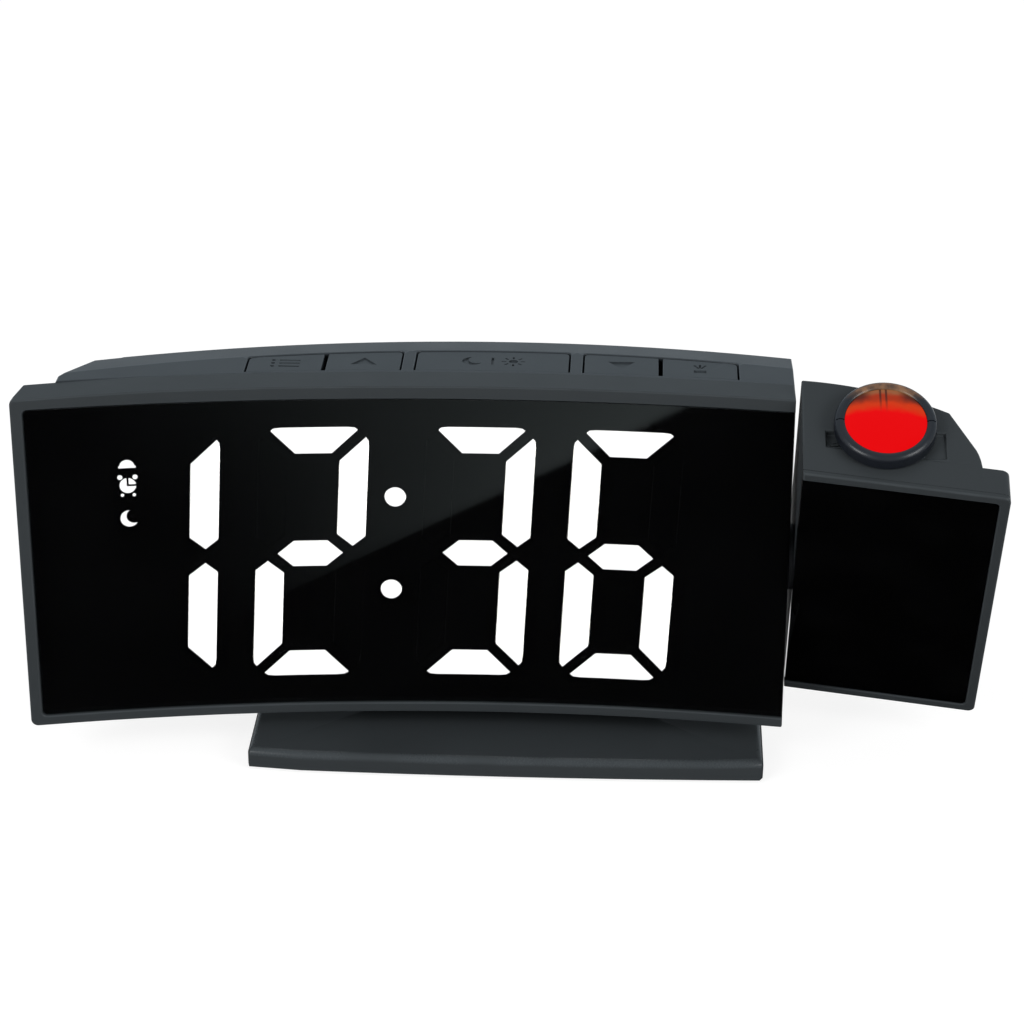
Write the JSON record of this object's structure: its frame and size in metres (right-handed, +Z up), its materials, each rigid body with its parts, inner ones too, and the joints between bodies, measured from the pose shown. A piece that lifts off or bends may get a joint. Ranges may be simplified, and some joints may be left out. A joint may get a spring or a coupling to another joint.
{
  "type": "projection alarm clock",
  "caption": "Curved desk alarm clock with large segment digits, top keys, a low stand and a swivelling projector head on its right end",
  "frame": {"origin": "on the table plane, under the middle of the clock's footprint, in the plane of the head's swivel axis", "axes": "+X to the right along the clock's width, as seen from the front; +Y to the back; +Z up"},
  "size_m": [0.188, 0.0563, 0.084],
  "materials": {
    "casing": "dark grey moulded ABS, finely textured, semi-matt",
    "rear_casing": "dark grey moulded ABS, finely textured, a little lighter where it faces up",
    "key_plastic": "grey moulded ABS, satin",
    "smoked_window": "smoked acrylic window, high gloss",
    "black_gloss": "piano black acrylic",
    "black_plastic": "black moulded plastic",
    "lit_diffuser": "opal acrylic, lit from behind",
    "white_plastic": "white moulded plastic",
    "circuit_board": "glass-epoxy board with green solder mask",
    "steel": "zinc-plated steel",
    "brass": "brass",
    "rubber": "soft black rubber",
    "ring_plastic": "near-black moulded plastic, satin",
    "red_lens": "red-lit acrylic lens",
    "clear_lens": "clear acrylic"
  },
  "bodies": {
    "clock": {"front_bezel": "casing", "display_window": "smoked_window", "display_mask": "black_plastic", "lit_segments": "lit_diffuser", "dark_segments": "black_plastic", "symbol_lenses": "lit_diffuser", "reflector_block": "white_plastic", "display_board": "circuit_board", "display_leds": "white_plastic", "main_board": "circuit_board", "main_chip": "black_plastic", "board_parts": "steel", "board_header": "black_plastic", "board_screws": "steel", "rear_housing": "rear_casing", "housing_screws": "steel", "key_board": "circuit_board", "key_switches": "black_plastic", "speaker": "black_plastic", "battery_contacts": "brass", "coin_cell": "steel", "dc_jack": "black_plastic", "cable_connector": "white_plastic", "swivel_bush": "brass", "stand_base": "casing", "stand_screws": "steel", "rubber_feet": "rubber"},
    "battery_cover": {"battery_cap": "rear_casing"},
    "mode_key": {"mode_button": "key_plastic"},
    "up_key": {"up_button": "key_plastic"},
    "snooze_key": {"snooze_button": "key_plastic"},
    "down_key": {"down_button": "key_plastic"},
    "projector_key": {"projector_button": "key_plastic"},
    "projector_head": {"head_frame": "casing", "head_panel": "black_gloss", "head_shell": "rear_casing", "head_screws": "steel", "swivel_shaft": "steel", "swivel_spacer": "black_plastic", "friction_washer": "brass", "retaining_ring": "steel", "projector_cable": "black_plastic", "projector_board": "circuit_board", "projector_led": "red_lens", "optics_housing": "black_plastic", "condenser_lens": "clear_lens", "lcd_slide": "black_gloss", "lens_tube": "black_plastic"},
    "focus_collar": {"focus_ring": "ring_plastic"},
    "lens_carriage": {"lens_cell": "black_plastic", "projection_lens": "red_lens"}
  },
  "joints": [
    {"name": "mode_press", "type": "slide", "parent": "clock", "child": "mode_key", "axis": [0, 0, -1], "range_m": [0, 0.0009], "stiffness_N_per_m": 400},
    {"name": "up_press", "type": "slide", "parent": "clock", "child": "up_key", "axis": [0, 0, -1], "range_m": [0, 0.0009], "stiffness_N_per_m": 400},
    {"name": "snooze_press", "type": "slide", "parent": "clock", "child": "snooze_key", "axis": [0, 0, -1], "range_m": [0, 0.0009], "stiffness_N_per_m": 400},
    {"name": "down_press", "type": "slide", "parent": "clock", "child": "down_key", "axis": [0, 0, -1], "range_m": [0, 0.0009], "stiffness_N_per_m": 400},
    {"name": "projector_press", "type": "slide", "parent": "clock", "child": "projector_key", "axis": [0, 0, -1], "range_m": [0, 0.0009], "stiffness_N_per_m": 400},
    {"name": "head_swivel", "type": "hinge", "parent": "clock", "child": "projector_head", "pos_m": [0.0558, 0, 0.043], "axis": [1, 0, 0], "range_deg": [-118, 62]},
    {"name": "focus_turn", "type": "hinge", "parent": "projector_head", "child": "focus_collar", "pos_m": [0.0712, -0.01462, 0.07668], "axis": [0, -0.4695, 0.8829], "range_deg": [-60, 60]},
    {"name": "lens_focus", "type": "slide", "parent": "projector_head", "child": "lens_carriage", "axis": [0, -0.4695, 0.8829], "range_m": [-0.0006, 0.0006]},
    {"name": "battery_cover_turn", "type": "hinge", "parent": "clock", "child": "battery_cover", "pos_m": [0, 0.021, 0.044], "axis": [0, 1, 0], "range_deg": [0, 45]}
  ],
  "couplings": [
    {"joint": "focus_turn", "follows": "lens_focus", "rad_per_m": 1745}
  ]
}
